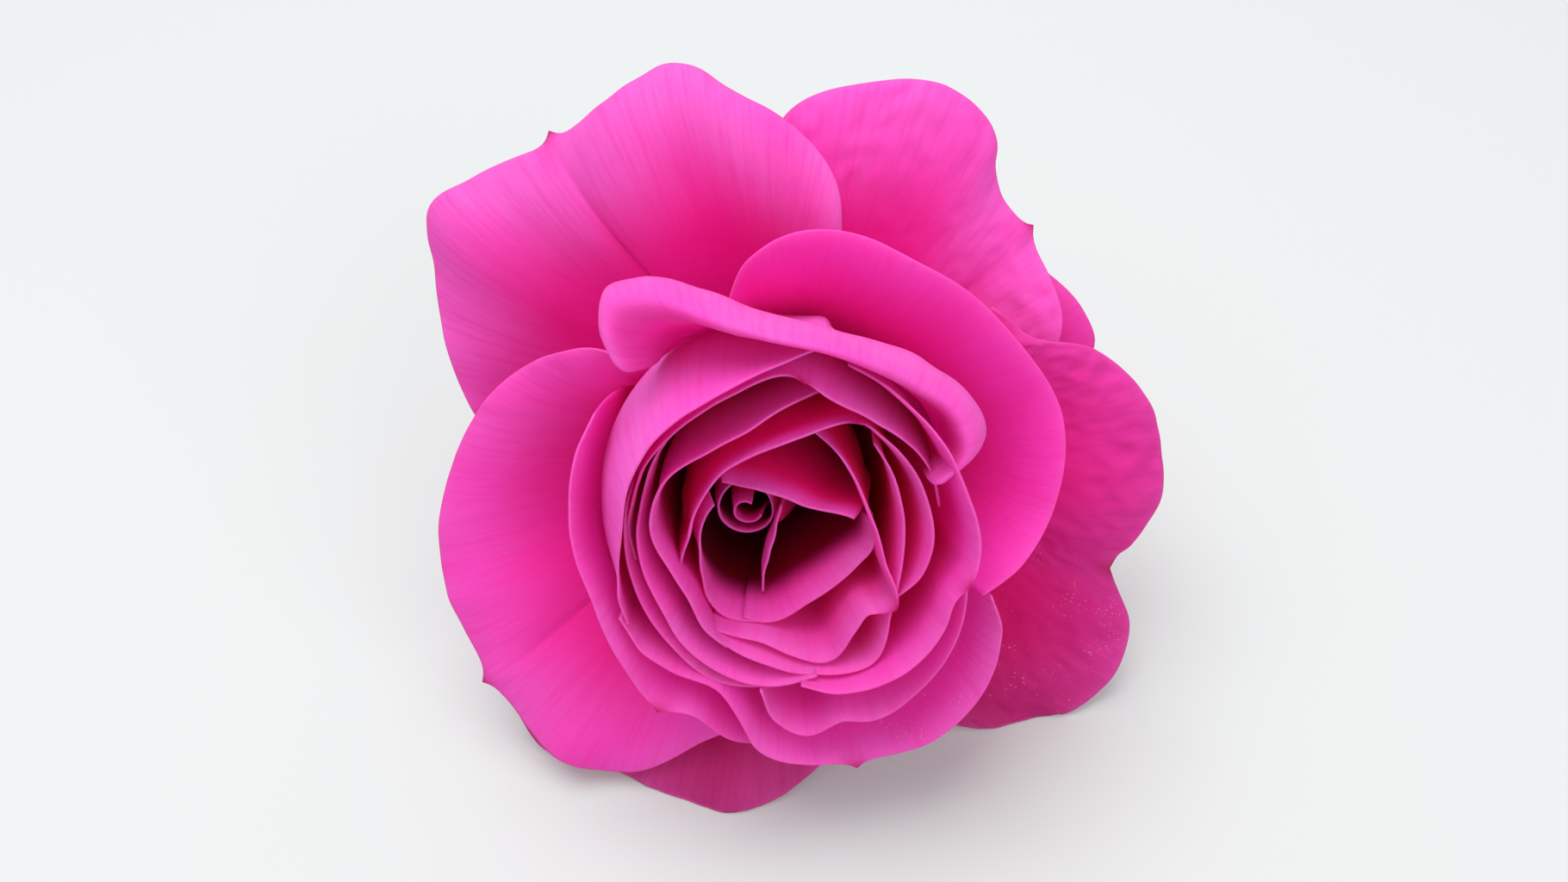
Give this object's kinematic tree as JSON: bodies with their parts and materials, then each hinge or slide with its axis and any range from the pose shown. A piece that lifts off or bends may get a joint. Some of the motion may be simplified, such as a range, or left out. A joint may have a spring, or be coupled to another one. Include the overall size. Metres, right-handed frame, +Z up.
{
  "type": "rose",
  "caption": "Picked pink garden rose in full bloom, with separate petals, sepals, hip and a short bare stem, lying on its side.",
  "frame": {"origin": "middle of the flower's box, on the surface that it lies on", "axes": "+Z up; the face of the bloom looks towards -Y and up, and the stem runs back towards +Y"},
  "size_m": [0.0874, 0.0996, 0.0788],
  "materials": {
    "petal": "velvety pink petal, lilac where it catches the light, crimson deep between petals",
    "sepal": "matt green, finely downy, paler inside",
    "stem": "smooth green bark, flushed red at the prickles, pale at the cut",
    "stamens": "golden anthers on pale filaments",
    "styles": "pale green, downy"
  },
  "bodies": {
    "root": {"stem": "stem", "styles": "styles", "stamens": "stamens", "sepal_1": "sepal", "sepal_2": "sepal", "sepal_3": "sepal", "sepal_4": "sepal", "sepal_5": "sepal", "petal_bud_inner": "petal", "petal_bud_outer": "petal", "petal_heart_edge": "petal", "petal_heart_top_hood": "petal", "petal_heart_bottom": "petal", "petal_heart_left": "petal", "petal_inner_bottom": "petal", "petal_inner_bottom_outer": "petal", "petal_inner_top_hood": "petal", "petal_inner_left": "petal", "petal_inner_left_mid": "petal", "petal_inner_left_outer": "petal", "petal_inner_top": "petal", "petal_cup_left_hood": "petal", "petal_cup_right": "petal", "petal_cup_bottom_inner": "petal", "petal_cup_bottom": "petal", "petal_cup_left": "petal", "petal_cup_top_lip": "petal", "petal_second_right": "petal", "petal_guard_left": "petal", "petal_guard_right": "petal", "petal_guard_top_left": "petal", "petal_guard_top_right": "petal", "petal_guard_bottom": "petal", "petal_guard_right_small": "petal"}
  },
  "joints": []
}
